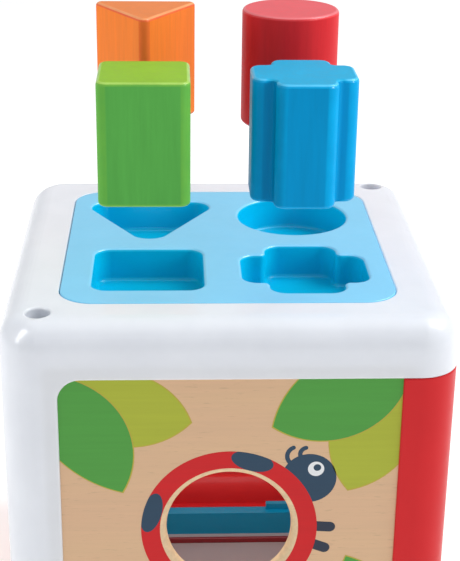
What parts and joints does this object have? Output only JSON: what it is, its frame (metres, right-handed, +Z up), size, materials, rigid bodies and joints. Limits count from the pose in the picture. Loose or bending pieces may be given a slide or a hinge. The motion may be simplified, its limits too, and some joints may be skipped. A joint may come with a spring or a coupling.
{
  "type": "shape sorter",
  "caption": "Toy cube of two interlocking moulded frames and plywood panels, with a lift-out tray of shaped pockets, matching blocks and a round window in front.",
  "frame": {"origin": "middle of the base, on the surface that the cube stands on", "axes": "+X to the right of the windowed front, +Y to the back, +Z up"},
  "size_m": [0.15, 0.15, 0.2295],
  "materials": {
    "white_plastic": "satin moulded plastic",
    "red_plastic": "satin moulded plastic",
    "sky_plastic": "satin moulded plastic",
    "birch_plywood": "printed and clear-lacquered birch plywood",
    "floor_plastic": "light grey moulded plastic",
    "teal_plastic": "matt moulded plastic",
    "green_wood": "satin paint on wood",
    "blue_wood": "satin paint on wood",
    "red_wood": "satin paint on wood",
    "orange_wood": "satin paint on wood",
    "steel": "zinc plated"
  },
  "bodies": {
    "box": {"top_frame": "white_plastic", "base_frame": "red_plastic", "front_panel": "birch_plywood", "right_panel": "birch_plywood", "back_panel": "birch_plywood", "left_panel": "birch_plywood", "floor_insert": "floor_plastic", "rail_foot": "floor_plastic", "foot_strip": "red_plastic", "floor_rail": "teal_plastic", "top_post_screws": "steel", "base_post_screws": "steel", "floor_screws": "steel", "rail_screws": "steel"},
    "tray": {"shape_tray": "sky_plastic"},
    "square_block": {"block_square": "green_wood"},
    "plus_block": {"block_plus": "blue_wood"},
    "round_block": {"block_round": "red_wood"},
    "triangle_block": {"block_triangle": "orange_wood"}
  },
  "joints": [
    {"name": "tray_lift", "type": "slide", "parent": "box", "child": "tray", "axis": [0, 0, 1], "range_m": [0, 0.06]},
    {"name": "square_block_drop", "type": "slide", "parent": "tray", "child": "square_block", "axis": [0, 0, 1], "range_m": [-0.0397, 0]},
    {"name": "plus_block_drop", "type": "slide", "parent": "tray", "child": "plus_block", "axis": [0, 0, 1], "range_m": [-0.0397, 0]},
    {"name": "round_block_drop", "type": "slide", "parent": "tray", "child": "round_block", "axis": [0, 0, 1], "range_m": [-0.0497, 0]},
    {"name": "triangle_block_drop", "type": "slide", "parent": "tray", "child": "triangle_block", "axis": [0, 0, 1], "range_m": [-0.0497, 0]}
  ]
}
